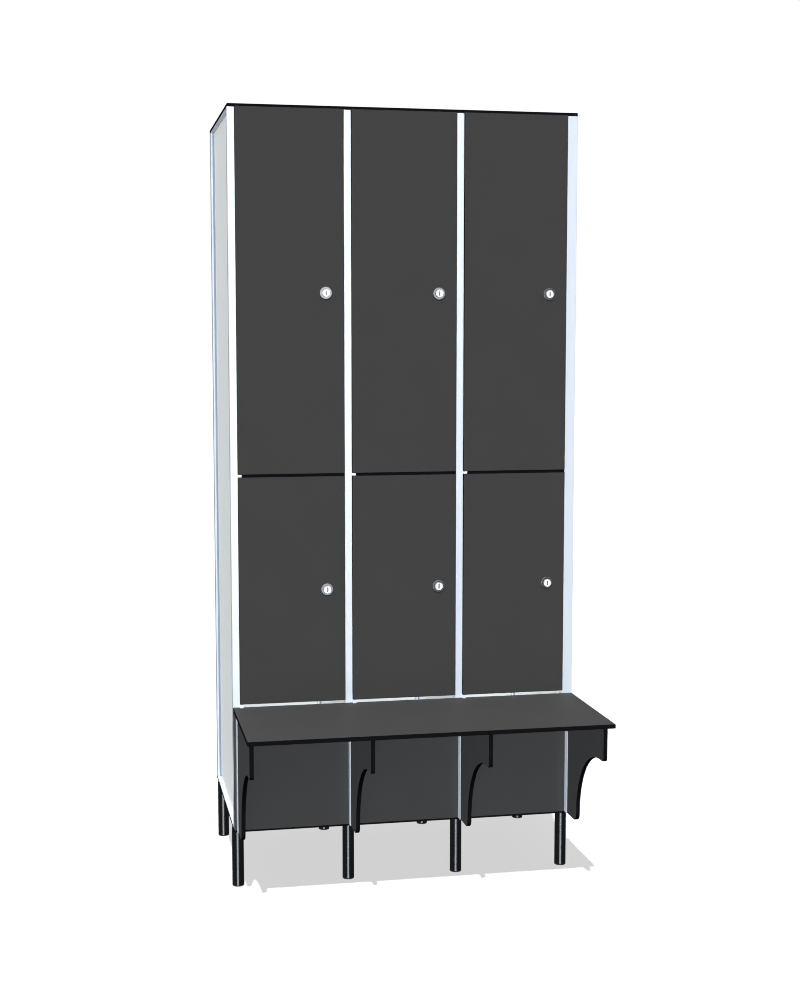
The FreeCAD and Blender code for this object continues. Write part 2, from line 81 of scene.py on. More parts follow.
class Axis(Enum):
    """Directions of the shared frame."""

    X = 0
    Y = 1
    Z = 2

    def scale(self, own: float, others: float) -> Point:
        """One value for this direction and another for the other two."""
        return tuple(own if axis is self else others for axis in Axis)


class Tier(Enum):
    """Rows of lockers."""

    UPPER = "upper"
    LOWER = "lower"


class Turn(Enum):
    """Turns about X, Y and Z in degrees, named for where they bring a piece's upper side."""

    UP = (0.0, 0.0, 0.0)
    DOWN = (180.0, 0.0, 0.0)
    FORWARD = (90.0, 0.0, 0.0)
    LEFT = (0.0, -90.0, 0.0)


class Slot(Enum):
    """Material slots of the record."""

    ALUMINIUM = "aluminium"
    BLACK_METAL = "black_metal"
    BLACK_PLASTIC = "black_plastic"
    LOCK = "lock_metal"
    STEEL = "steel"


class Reach(Enum):
    """Objects that a light group stands for: its members, or all the others."""

    MEMBERS = "INCLUDE"
    OTHERS = "EXCLUDE"


@dataclass(frozen=True)
class Wire:
    """Output of a shader node. Python operators on it add Math nodes."""

    graph: "Graph"
    node: bpy.types.Node
    output: int | str

    @property
    def socket(self) -> bpy.types.NodeSocket:
        """The output socket."""
        return self.node.outputs[self.output]

    def _math(self, operation: str, *operands: "Number") -> "Wire":
        """Result of a Math node on some operands."""
        return self.graph.node("ShaderNodeMath", {"operation": operation}, dict(enumerate(operands)))

    def __add__(self, other: "Number") -> "Wire":
        """Sum."""
        return self._math("ADD", self, other)

    def __radd__(self, other: "Number") -> "Wire":
        """Sum, reflected."""
        return self._math("ADD", other, self)

    def __sub__(self, other: "Number") -> "Wire":
        """Difference."""
        return self._math("SUBTRACT", self, other)

    def __rsub__(self, other: "Number") -> "Wire":
        """Difference, reflected."""
        return self._math("SUBTRACT", other, self)

    def __mul__(self, other: "Number") -> "Wire":
        """Product."""
        return self._math("MULTIPLY", self, other)

    def __rmul__(self, other: "Number") -> "Wire":
        """Product, reflected."""
        return self._math("MULTIPLY", other, self)

    def __abs__(self) -> "Wire":
        """Size without its sign."""
        return self._math("ABSOLUTE", self)

    def root(self) -> "Wire":
        """Square root."""
        return self._math("SQRT", self)

    def sine(self) -> "Wire":
        """Sine of an angle in radians."""
        return self._math("SINE", self)

    def step(self, low: float, high: float) -> "Wire":
        """Smooth step from 0 at the low value to 1 at the high one."""
        inputs = {"Value": self, "From Min": low, "From Max": high}
        return self.graph.node("ShaderNodeMapRange", {"interpolation_type": "SMOOTHSTEP"}, inputs)

    def sway(self, spread: float) -> "Wire":
        """Difference of a value between 0 and 1 from its middle, times a spread."""
        return (self - 0.5) * spread

    def toward(self, other: "Number", share: "Number") -> "Wire":
        """Value moved by a share of the way to another one."""
        return self + (other - self) * share


Number = float | Wire


class Graph:
    """Node tree of one material or of the room."""

    def __init__(self, tree: bpy.types.NodeTree) -> None:
        """Empty a node tree and keep it."""
        self.tree = tree
        self.tree.nodes.clear()

    def node(self, kind: str, settings: dict | None = None, inputs: dict | None = None,
             output: int | str = 0) -> Wire:
        """Add a node.

        Args:
            kind: Type name of the node.
            settings: Properties that are set first.
            inputs: Values or links by socket name or number.
            output: Number or name of the output to return.

        Returns:
            The chosen output.
        """
        made = self.tree.nodes.new(kind)
        for name, value in (settings or {}).items():
            setattr(made, name, value)
        for key, value in (inputs or {}).items():
            if isinstance(value, Wire):
                self.tree.links.new(value.socket, made.inputs[key])
            else:
                made.inputs[key].default_value = value
        return Wire(self, made, output)

    def place(self) -> Wire:
        """Object coordinates in metres."""
        return self.node("ShaderNodeTexCoord", output="Object")

    def part(self, vector: Wire, axis: Axis) -> Wire:
        """One coordinate of a vector."""
        return self.node("ShaderNodeSeparateXYZ", None, {0: vector}, axis.value)

    def stretch(self, vector: Wire, scale: Point) -> Wire:
        """Vector times a scale for each direction."""
        return self.node("ShaderNodeVectorMath", {"operation": "MULTIPLY"}, {0: vector, 1: scale})

    def noise(self, vector: Wire, scale: float, detail: float) -> Wire:
        """Noise between 0 and 1, with a number of waves in a metre and of octaves."""
        inputs = {"Vector": vector, "Scale": scale, "Detail": detail}
        return self.node("ShaderNodeTexNoise", None, inputs)

    def blend(self, factor: Number, first: Colour | Wire, second: Colour | Wire) -> Wire:
        """Mix of two colours: the first where the factor is 0, the second where it is 1."""
        return self.node("ShaderNodeMix", {"data_type": "RGBA"}, {0: factor, 6: first, 7: second}, 2)

    def bump(self, height: Wire, distance: float, strength: float) -> Wire:
        """Normal bent by a height between 0 and 1, which stands for a distance in metres."""
        inputs = {"Height": height, "Distance": distance, "Strength": strength}
        return self.node("ShaderNodeBump", None, inputs)

    def surface(self, **inputs: float | Colour | Wire) -> None:
        """Add the main shader and the output.

        Args:
            inputs: Values or links by socket name, with _ for a space.
        """
        named = {key.replace("_", " "): value for key, value in inputs.items()}
        shader = self.node("ShaderNodeBsdfPrincipled", None, named)
        self.node("ShaderNodeOutputMaterial", None, {"Surface": shader})


def new_material(name: str) -> tuple[Material, Graph]:
    """Make an empty material.

    Args:
        name: Name of the material.

    Returns:
        The material and its graph.
    """
    material = bpy.data.materials.new(name)
    material.use_nodes = True
    return material, Graph(material.node_tree)


def grey(value: float, tint: Point = (1.0, 1.0, 1.0)) -> Colour:
    """Linear grey with a factor for each channel."""
    return (value * tint[0], value * tint[1], value * tint[2], 1.0)


PANEL_TINT = (0.955, 1.0, 1.01)
PAINT_TINT = (0.92, 1.0, 1.15)
CORE_TINT = (0.92, 1.0, 1.25)


@dataclass(frozen=True)
class LaminateFinish:
    """Compact laminate: dark matt faces over a black core that shows along the edges."""

    tone: Colour = grey(0.0535)
    speck: float = 0.08
    core: Colour = grey(0.0060, CORE_TINT)
    core_streak: Colour = grey(0.0085, CORE_TINT)
    decor_depth: float = 0.00002
    core_depth: float = 0.00008
    grain: Waves = (2600.0, 1.0)
    cloud: Waves = (9.0, 3.0)
    grain_share: float = 0.6
    layers_across: float = 2400.0
    layers_along: float = 12.0
    layers: Waves = (1.0, 2.0)
    face_roughness: float = 0.58
    face_spread: float = 0.10
    grain_spread: float = 0.08
    core_roughness: float = 0.42
    core_spread: float = 0.16
    sheen: float = 0.15
    sheen_spread: float = 0.05
    sheen_roughness: float = 0.5
    pearl: float = 0.000025
    relief: float = 0.6

    def material(self, name: str, axis: Axis, middle: float, half: float) -> Material:
        """Make the finish for boards that lie across one axis.

        Args:
            name: Name of the material.
            axis: Direction of the board's thickness.
            middle: Place of its middle plane.
            half: Half its thickness.

        Returns:
            The material.
        """
        material, graph = new_material(name)
        place = graph.place()
        depth = abs(graph.part(place, axis) - middle)
        on_face = depth.step(half - self.core_depth, half - self.decor_depth)
        fine = graph.noise(place, *self.grain)
        cloud = graph.noise(place, *self.cloud)
        layers = graph.stretch(place, axis.scale(self.layers_across, self.layers_along))
        streak = graph.noise(layers, *self.layers)
        dark, pale = (grey(1 + sign * self.speck, self.tone[:3]) for sign in (-1, 1))
        face = graph.blend(fine * self.grain_share + cloud * (1 - self.grain_share), dark, pale)
        core = graph.blend(streak, self.core, self.core_streak)
        rough_face = self.face_roughness + cloud.sway(self.face_spread) + fine.sway(self.grain_spread)
        rough_core = self.core_roughness + streak.sway(self.core_spread)
        graph.surface(
            Base_Color=graph.blend(on_face, core, face),
            Roughness=rough_core.toward(rough_face, on_face),
            Specular_IOR_Level=0.0,
            Coat_Weight=on_face * (self.sheen + cloud.sway(self.sheen_spread)),
            Coat_Roughness=self.sheen_roughness,
            Normal=graph.bump(fine * on_face + streak * (1 - on_face), self.pearl, self.relief),
        )
        return material


@dataclass(frozen=True)
class MottledFinish:
    """Two close tones in clouds, with a fine grain in relief."""

    base: Colour
    shade: Colour
    cloud: Waves
    grain: Waves
    roughness: float
    spread: float
    depth: float
    relief: float
    metallic: float = 0.0
    specular: float = 0.5
    gleam: Colour = WHITE

    def material(self, name: str) -> Material:
        """Make the finish.

        Args:
            name: Name of the material.

        Returns:
            The material.
        """
        material, graph = new_material(name)
        place = graph.place()
        cloud = graph.noise(place, *self.cloud)
        grain = graph.noise(place, *self.grain)
        graph.surface(
            Base_Color=graph.blend(cloud, self.base, self.shade),
            Metallic=self.metallic,
            Roughness=self.roughness + cloud.sway(self.spread),
            Specular_IOR_Level=self.specular,
            Specular_Tint=self.gleam,
            Normal=graph.bump(grain, self.depth, self.relief),
        )
        return material


SATIN_PANEL = MottledFinish(
    base=grey(0.80, PANEL_TINT), shade=grey(0.77, PANEL_TINT), cloud=(6.0, 3.0), grain=(1800.0, 1.0),
    roughness=0.5, spread=0.12, depth=0.00002, relief=0.5, specular=0.25,
)
BLACK_PAINT = MottledFinish(
    base=grey(0.0032, PAINT_TINT), shade=grey(0.0042, PAINT_TINT), cloud=(25.0, 2.0), grain=(420.0, 2.0),
    roughness=0.18, spread=0.08, depth=0.00001, relief=0.35, specular=0.25, gleam=(0.88, 0.94, 1.0, 1.0),
)
MOULDED_PLASTIC = MottledFinish(
    base=grey(0.010), shade=grey(0.014), cloud=(1500.0, 2.0), grain=(1500.0, 2.0),
    roughness=0.5, spread=0.15, depth=0.00006, relief=0.5,
)
ZINC_PLATE = MottledFinish(
    base=(0.56, 0.58, 0.62, 1.0), shade=(0.46, 0.48, 0.53, 1.0), cloud=(350.0, 3.0), grain=(350.0, 3.0),
    roughness=0.36, spread=0.2, depth=0.00001, relief=0.5, metallic=1.0,
)


@dataclass(frozen=True)
class Recess:
    """Bevelled panel recess of an upright, where its finish paints shade: its middle and half width along X,
    its mouth and floor along Y.
    """

    middle: float
    mouth: float
    floor: float
    half: float = 0.0122


@dataclass(frozen=True)
class AnodisedFinish:
    """Satin anodised aluminium with fine drawing lines along the bar, and painted shade in the panel recess.
    """

    base: Colour = (0.81, 0.89, 1.0, 1.0)
    line: Colour = (0.77, 0.85, 0.97, 1.0)
    # Painted shade: this tone and the mask bounds below darken the bar's faces inside the panel recess.
    recess_shade: Colour = (0.33, 0.38, 0.48, 1.0)
    recess_start: tuple[float, float] = (0.04, 0.12)
    recess_stop: tuple[float, float] = (1.02, 1.06)
    recess_fade: float = 0.0002
    metallic: float = 0.25
    roughness: float = 0.23
    line_spread: float = 0.12
    cloud_spread: float = 0.05
    across: float = 2200.0
    along: float = 5.0
    lines: Waves = (1.0, 3.0)
    cloud: Waves = (14.0, 2.0)
    line_depth: float = 0.000012
    relief: float = 0.6

    def material(self, name: str, grain: Axis, recess: Recess | None = None) -> Material:
        """Make the finish for bars drawn along one axis.

        Args:
            name: Name of the material.
            grain: Direction of the drawing lines.
            recess: Place of the panel recess that gets painted shade, if the bar has one.

        Returns:
            The material.
        """
        material, graph = new_material(name)
        place = graph.place()
        lines = graph.noise(graph.stretch(place, grain.scale(self.along, self.across)), *self.lines)
        cloud = graph.noise(place, *self.cloud)
        colour = graph.blend(lines, self.base, self.line)
        # Painted shade: the bar's faces inside the panel recess take the darker recess tone.
        if recess is not None:
            along = (graph.part(place, Axis.Y) - recess.mouth) * (1.0 / (recess.floor - recess.mouth))
            across = abs(graph.part(place, Axis.X) - recess.middle)
            within = 1 - across.step(recess.half, recess.half + self.recess_fade)
            shaded_recess = along.step(*self.recess_start) * (1 - along.step(*self.recess_stop)) * within
            colour = graph.blend(shaded_recess, colour, self.recess_shade)
        graph.surface(
            Base_Color=colour,
            Metallic=self.metallic,
            Roughness=self.roughness + lines.sway(self.line_spread) + cloud.sway(self.cloud_spread),
            Normal=graph.bump(lines, self.line_depth, self.relief),
        )
        return material


@dataclass(frozen=True)
class TurnedNickelFinish:
    """Nickel with turning marks round the lock's axis, and painted shade in darker greys on the head's sides
    and in the keyway.
    """

    base: Colour = (0.56, 0.61, 0.68, 1.0)
    mark: Colour = (0.53, 0.58, 0.65, 1.0)
    # Painted shade: a darker grey for the keyway and one for the sides of the cylinder's head.
    keyway_shade: Colour | None = None
    side: Colour = (0.42, 0.43, 0.45, 1.0)
    metallic: float = 1.0
    roughness: float = 0.15
    spread: float = 0.06
    marks_per_metre: float = 5200.0
    mark_depth: float = 0.000004
    mark_share: float = 0.6
    cloud: Waves = (260.0, 2.0)
    relief: float = 0.4
    face_radius: float = 0.0091
    keyway_radius: float = 0.0062
    keyway_depths: tuple[float, float] = (0.0004, 0.0040)
    fade: float = 0.0001

    def material(self, name: str, face: Point) -> Material:
        """Make the finish for one lock.

        Args:
            name: Name of the material.
            face: Middle of the lock's face.

        Returns:
            The material.
        """
        material, graph = new_material(name)
        place = graph.place()
        across, behind, up = (graph.part(place, axis) - face[axis.value] for axis in Axis)
        radius = (across * across + up * up).root()
        rings = (radius * self.marks_per_metre).sine() * 0.5 + 0.5
        cloud = graph.noise(place, *self.cloud)
        mark = rings * self.mark_share + cloud * (1 - self.mark_share)
        colour = graph.blend(mark, self.base, self.mark)
        metallic: Number = self.metallic
        # Painted shade: the keyway and the head's sides take darker greys.
        if self.keyway_shade is not None:
            near, far = self.keyway_depths
            shaded_recess = behind.step(near, near + self.fade) * (1 - behind.step(far, far + self.fade))
            keyway = shaded_recess * (1 - radius.step(self.keyway_radius - self.fade, self.keyway_radius))
            sides = radius.step(self.face_radius, self.face_radius + 2 * self.fade)
            colour = graph.blend(keyway, graph.blend(sides, colour, self.side), self.keyway_shade)
            metallic = self.metallic + (1.0 - self.metallic) * keyway
        graph.surface(
            Base_Color=colour,
            Metallic=metallic,
            Roughness=self.roughness + mark.sway(self.spread),
            Normal=graph.bump(rings, self.mark_depth, self.relief),
        )
        return material


class Workshop:
    """Hand tools that shape one new mesh at a time."""

    MERGE_DISTANCE = 1e-6
    FLAT_ANGLE = 0.5
    SOFT_STEPS = 2

    @staticmethod
    def clear() -> None:
        """Leave edit mode and deselect everything."""
        if bpy.context.object is not None and bpy.context.object.mode != "OBJECT":
            bpy.ops.object.mode_set(mode="OBJECT")
        bpy.ops.object.select_all(action="DESELECT")

    @classmethod
    def choose(cls, pieces: Sequence[Piece]) -> None:
        """Select pieces and make the first one active.

        Args:
            pieces: Pieces to select.
        """
        cls.clear()
        for piece in pieces:
            piece.select_set(True)
        bpy.context.view_layer.objects.active = pieces[0]

    @classmethod
    def turn(cls, name: str, profile: Sequence[tuple[float, float]], steps: int = 64) -> Piece:
        """Spin a profile round the Z axis.

        Args:
            name: Name of the piece.
            profile: (radius, height) points. A profile that doesn't start on the axis is closed.
            steps: Sides of the turned piece.

        Returns:
            The piece.
        """
        cls.clear()
        bpy.ops.mesh.primitive_plane_add(size=0.01)
        piece = bpy.context.object
        piece.name = name
        bpy.ops.object.mode_set(mode="EDIT")
        bpy.ops.mesh.select_mode(type="VERT")
        bpy.ops.mesh.select_all(action="SELECT")
        bpy.ops.mesh.merge(type="CENTER")
        points = list(profile)
        if points[0][0] > 0:
            points.append(points[0])
        bpy.ops.transform.translate(value=(points[0][0], 0.0, points[0][1]))
        for (radius, height), (next_radius, next_height) in zip(points, points[1:]):
            step = (next_radius - radius, 0.0, next_height - height)
            bpy.ops.mesh.extrude_vertices_move(TRANSFORM_OT_translate={"value": step})
        bpy.ops.mesh.select_all(action="SELECT")
        bpy.ops.mesh.spin(steps=steps, angle=2 * math.pi, center=(0, 0, 0), axis=(0, 0, 1))
        bpy.ops.mesh.select_all(action="SELECT")
        bpy.ops.mesh.remove_doubles(threshold=cls.MERGE_DISTANCE)
        bpy.ops.mesh.normals_make_consistent(inside=False)
        bpy.ops.object.mode_set(mode="OBJECT")
        return piece

    @classmethod
    def block(cls, name: str, low: Point, high: Point) -> Piece:
        """Add a block between two corners.

        Args:
            name: Name of the piece.
            low: Lowest corner.
            high: Highest corner.

        Returns:
            The piece.
        """
        cls.clear()
        middle = [(a + b) / 2 for a, b in zip(low, high)]
        bpy.ops.mesh.primitive_cube_add(size=1.0, location=middle)
        piece = bpy.context.object
        piece.name = name
        piece.scale = [b - a for a, b in zip(low, high)]
        bpy.ops.object.transform_apply()
        return piece

    @classmethod
    def prism(cls, name: str, sides: int, radius: float, low: float, high: float, turn: float = 0.0) -> Piece:
        """Add an upright prism about the Z axis.

        Args:
            name: Name of the piece.
            sides: Number of sides.
            radius: Distance of its corners from the axis.
            low: Height of its bottom.
            high: Height of its top.
            turn: Its turn about the axis in degrees.

        Returns:
            The piece.
        """
        cls.clear()
        place = {"location": (0.0, 0.0, (low + high) / 2), "rotation": (0.0, 0.0, math.radians(turn))}
        bpy.ops.mesh.primitive_cylinder_add(vertices=sides, radius=radius, depth=high - low, **place)
        piece = bpy.context.object
        piece.name = name
        bpy.ops.object.transform_apply()
        return piece

    @classmethod
    def round_corners(cls, piece: Piece, radius: float, segments: int) -> None:
        """Bevel the upright edges of a block.

        Args:
            piece: Block to shape.
            radius: Width of the bevel.
            segments: Steps across it.
        """
        cls.choose([piece])
        bpy.ops.object.mode_set(mode="EDIT")
        bpy.ops.mesh.select_mode(type="EDGE")
        bpy.ops.mesh.select_all(action="DESELECT")
        bpy.ops.object.mode_set(mode="OBJECT")
        heights = [vertex.co.z for vertex in piece.data.vertices]
        for edge in piece.data.edges:
            low, high = sorted(heights[end] for end in edge.vertices)
            edge.select = high - low > cls.MERGE_DISTANCE
        bpy.ops.object.mode_set(mode="EDIT")
        bpy.ops.mesh.bevel(offset=radius, segments=segments, affect="EDGES")
        bpy.ops.object.mode_set(mode="OBJECT")

    @classmethod
    def soften(cls, piece: Piece, width: float, angle: float) -> None:
        """Round every sharp edge with an applied bevel.

        Args:
            piece: Piece to shape.
            width: Width of the bevel.
            angle: Least angle of an edge that is rounded, in degrees.
        """
        cls.choose([piece])
        bevel = piece.modifiers.new("soft_edges", "BEVEL")
        bevel.width = width
        bevel.segments = cls.SOFT_STEPS
        bevel.limit_method = "ANGLE"
        bevel.angle_limit = math.radians(angle)
        bpy.ops.object.modifier_apply(modifier=bevel.name)

    @classmethod
    def cut(cls, piece: Piece, cutter: Piece) -> None:
        """Cut one piece out of another, remove the cutter and merge the flat faces that are left.

        Args:
            piece: Piece to cut.
            cutter: Shape of the cut.
        """
        cls.choose([piece])
        boolean = piece.modifiers.new("cut", "BOOLEAN")
        boolean.operation = "DIFFERENCE"
        boolean.solver = "EXACT"
        boolean.object = cutter
        bpy.ops.object.modifier_apply(modifier=boolean.name)
        cls.discard(cutter)
        bpy.ops.object.mode_set(mode="EDIT")
        bpy.ops.mesh.select_all(action="SELECT")
        bpy.ops.mesh.dissolve_limited(angle_limit=math.radians(cls.FLAT_ANGLE))
        bpy.ops.object.mode_set(mode="OBJECT")

    @classmethod
    def join(cls, pieces: Sequence[Piece], name: str) -> Piece:
        """Join pieces into the first one.

        Args:
            pieces: Pieces to join.
            name: Name of the result.

        Returns:
            The joined piece.
        """
        cls.choose(pieces)
        bpy.ops.object.join()
        pieces[0].name = name
        return pieces[0]

    @classmethod
    def smooth(cls, piece: Piece, angle: float = 35.0) -> None:
        """Shade a piece smoothly where its faces meet at less than an angle in degrees."""
        cls.choose([piece])
        bpy.ops.object.shade_smooth_by_angle(angle=math.radians(angle))

    @classmethod
    def copy(cls, piece: Piece, name: str, place: Point, turn: Turn = Turn.UP) -> Piece:
        """Copy a piece with its own mesh, set it in place and apply that place.

        Args:
            piece: Piece to copy.
            name: Name of the copy.
            place: Where its origin goes.
            turn: How it is turned.

        Returns:
            The copy.
        """
        twin = piece.copy()
        twin.data = piece.data.copy()
        twin.name = name
        twin.data.name = name
        bpy.context.scene.collection.objects.link(twin)
        twin.location = place
        twin.rotation_euler = [math.radians(value) for value in turn.value]
        cls.choose([twin])
        bpy.ops.object.transform_apply()
        return twin

    @staticmethod
    def discard(*pieces: Piece) -> None:
        """Remove patterns or cutters."""
        for piece in pieces:
            bpy.data.objects.remove(piece, do_unlink=True)


def dress(nodes: Iterable[str], material: Material) -> None:
    """Give CAD nodes a finish.

    Args:
        nodes: Names of the nodes.
        material: Finish for them.
    """
    for node in nodes:
        slots = frame["nodes"][node].data.materials
        slots.clear()
        slots.append(material)
        LOG.info("dressed %s with %s", node, material.name)


def middle_x(node: str) -> float:
    """X of the middle of a CAD node."""
    return sum(corner.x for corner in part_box(node)) / 2


def add_piece(piece: Piece, material: Material, body: str, node: str) -> None:
    """Register a new piece with the frame.

    Args:
        piece: The piece, in place.
        material: Its finish.
        body: Body that it moves with.
        node: CAD node that it stands for.
    """
    piece.data.materials.clear()
    piece.data.materials.append(material)
    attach(piece, body)
    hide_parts(node)
    LOG.info("built %s on %s, %d faces", piece.name, body, len(piece.data.polygons))


@dataclass
class Boards:
    """All laminate boards: top, base, shelves, doors, seat, apron and brackets."""

    case: LaminateFinish = LaminateFinish()
    # Painted light: the seat's lighter tone stands in for the stronger light on its top face.
    seat: LaminateFinish = LaminateFinish(tone=grey(0.069))
    # Painted shade: the apron and the brackets take darker tones for the shade under the seat.
    apron: LaminateFinish = LaminateFinish(tone=(0.0510, 0.0526, 0.0542, 1.0))
    bracket: LaminateFinish = LaminateFinish(tone=(0.0470, 0.0485, 0.0515, 1.0), sheen=0.03)

    def dress(self) -> None:
        """Give the boards of each plane the finish that fits their thickness and place."""
        doors = [f"door_{tier.value}_{column}" for tier in Tier for column in COLUMNS]
        planes = [
            ("laminate_top", self.case, ["top_panel"]),
            ("laminate_base", self.case, ["base_panel"]),
            ("laminate_shelf", self.case, [f"tier_shelf_{column}" for column in COLUMNS]),
            ("laminate_door", self.case, doors),
            ("laminate_seat", self.seat, ["bench_seat"]),
            ("laminate_apron", self.apron, ["apron_panel"]),
        ]
        for number in FRAMES:
            planes.append((f"laminate_bracket_{number}", self.bracket, [f"bench_bracket_{number}"]))
        for name, finish, nodes in planes:
            low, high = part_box(nodes[0])
            axis = min(Axis, key=lambda a: high[a.value] - low[a.value])
            start, end = low[axis.value], high[axis.value]
            dress(nodes, finish.material(name, axis, (start + end) / 2, (end - start) / 2))


@dataclass
class Frames:
    """Aluminium uprights, rails, channels and pivot blocks with the light panels that they hold."""

    metal: AnodisedFinish = AnodisedFinish()
    # Painted shade: the top rails take a darker copy of the anodised finish for the shade under the top
    # panel.
    top_rail: AnodisedFinish = AnodisedFinish(
        base=(0.40, 0.44, 0.51, 1.0), line=(0.37, 0.41, 0.48, 1.0), metallic=0.2,
    )
    # Painted light: the bottom rails take a lighter copy for the light on their upper faces.
    bottom_rail: AnodisedFinish = AnodisedFinish(
        base=(0.90, 0.94, 1.0, 1.0), line=(0.86, 0.91, 0.98, 1.0), metallic=0.2,
    )
    panel: MottledFinish = SATIN_PANEL
    # Painted shade: the back panels and, darker still, the divider panels are shaded copies of the side panel
    # finish, for the shade inside the lockers.
    back: MottledFinish = replace(SATIN_PANEL, base=grey(0.78, PANEL_TINT), shade=grey(0.75, PANEL_TINT))
    divider: MottledFinish = replace(SATIN_PANEL, base=grey(0.62, PANEL_TINT), shade=grey(0.60, PANEL_TINT))
    paint: MottledFinish = replace(BLACK_PAINT, roughness=0.65, specular=0.1)
    steel: MottledFinish = ZINC_PLATE
    recess_depth: float = 0.004

    def dress_uprights(self) -> None:
        """Give each upright a finish that paints shade in its panel recess."""
        for number in FRAMES:
            for end, inward in (("front", 1), ("rear", -1)):
                node = f"{end}_upright_{number}"
                low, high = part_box(node)
                mouth = high.y if inward > 0 else low.y
                recess = Recess(middle_x(node), mouth, mouth - inward * self.recess_depth)
                dress([node], self.metal.material(f"anodised_{end}_{number}", Axis.Z, recess))

    def dress(self) -> None:
        """Give every frame node its finish."""
        self.dress_uprights()
        dress(["bracket_channels", "pivot_blocks"], self.metal.material("anodised_channel", Axis.Z))
        dress(["top_rails"], self.top_rail.material("anodised_top_rail", Axis.Y))
        dress(["bottom_rails"], self.bottom_rail.material("anodised_bottom_rail", Axis.Y))
        dress(["side_panel_left", "side_panel_right"], self.panel.material("satin_side_panel"))
        dress(["divider_panel_1", "divider_panel_2"], self.divider.material("satin_divider_panel"))
        dress([f"back_panel_{column}" for column in COLUMNS], self.back.material("satin_back_panel"))
        dress(["top_pivot_blocks"], self.paint.material("black_pivot_paint"))
        inner = ["strike_plates", "shelf_pins", "pivot_pins", "seat_dowels", "leg_studs"]
        dress(inner, self.steel.material("zinc_fitting"))


@dataclass
class Legs:
    """Round tubular legs on plastic end plugs."""

    radius: float = 0.0145
    foot: float = 0.003
    rim: float = 0.0004
    bore: float = 0.0125
    sides: int = 72
    paint: MottledFinish = BLACK_PAINT
    plastic: MottledFinish = MOULDED_PLASTIC

    def places(self) -> list[tuple[str, float, float]]:
        """Find the legs' axes.

        Returns:
            Name, X and Y of each leg.
        """
        low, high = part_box("leg_tubes")
        rows = {"front": low.y + self.radius, "rear": high.y - self.radius}
        found = []
        for number in FRAMES:
            x = middle_x(f"front_upright_{number}")
            found += [(f"{row}_{number}", x, y) for row, y in rows.items()]
        return found

    def patterns(self) -> tuple[Piece, Piece]:
        """Model one tube and one end plug with a rounded sole.

        Returns:
            The tube and the plug, on the Z axis.
        """
        outer, rim, foot, bore = self.radius, self.rim, self.foot, self.bore
        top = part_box("leg_tubes")[1].z
        tube_profile = [
            (bore, foot), (outer - rim, foot), (outer, foot + rim), (outer, top - rim), (outer - rim, top),
            (bore, top),
        ]
        plug_profile = [
            (0.0, 0.0), (outer - 4 * rim, 0.0), (outer - rim, rim), (outer, 3 * rim), (outer, foot - rim),
            (outer - rim, foot), (bore, foot), (bore, 4 * foot), (0.0, 4 * foot),
        ]
        tube = Workshop.turn("leg_tube", tube_profile, self.sides)
        plug = Workshop.turn("leg_plug", plug_profile, self.sides)
        Workshop.smooth(tube)
        Workshop.smooth(plug)
        return tube, plug

    def build(self) -> None:
        """Model a leg, copy it to its eight places and register the copies."""
        tube, plug = self.patterns()
        paint = self.paint.material("black_leg_paint")
        plastic = self.plastic.material("black_plug_plastic")
        for name, x, y in self.places():
            made = Workshop.copy(tube, f"leg_tube_{name}", (x, y, 0.0))
            add_piece(made, paint, CABINET, "leg_tubes")
            made = Workshop.copy(plug, f"leg_plug_{name}", (x, y, 0.0))
            add_piece(made, plastic, CABINET, "leg_end_plugs")
        Workshop.discard(tube, plug)


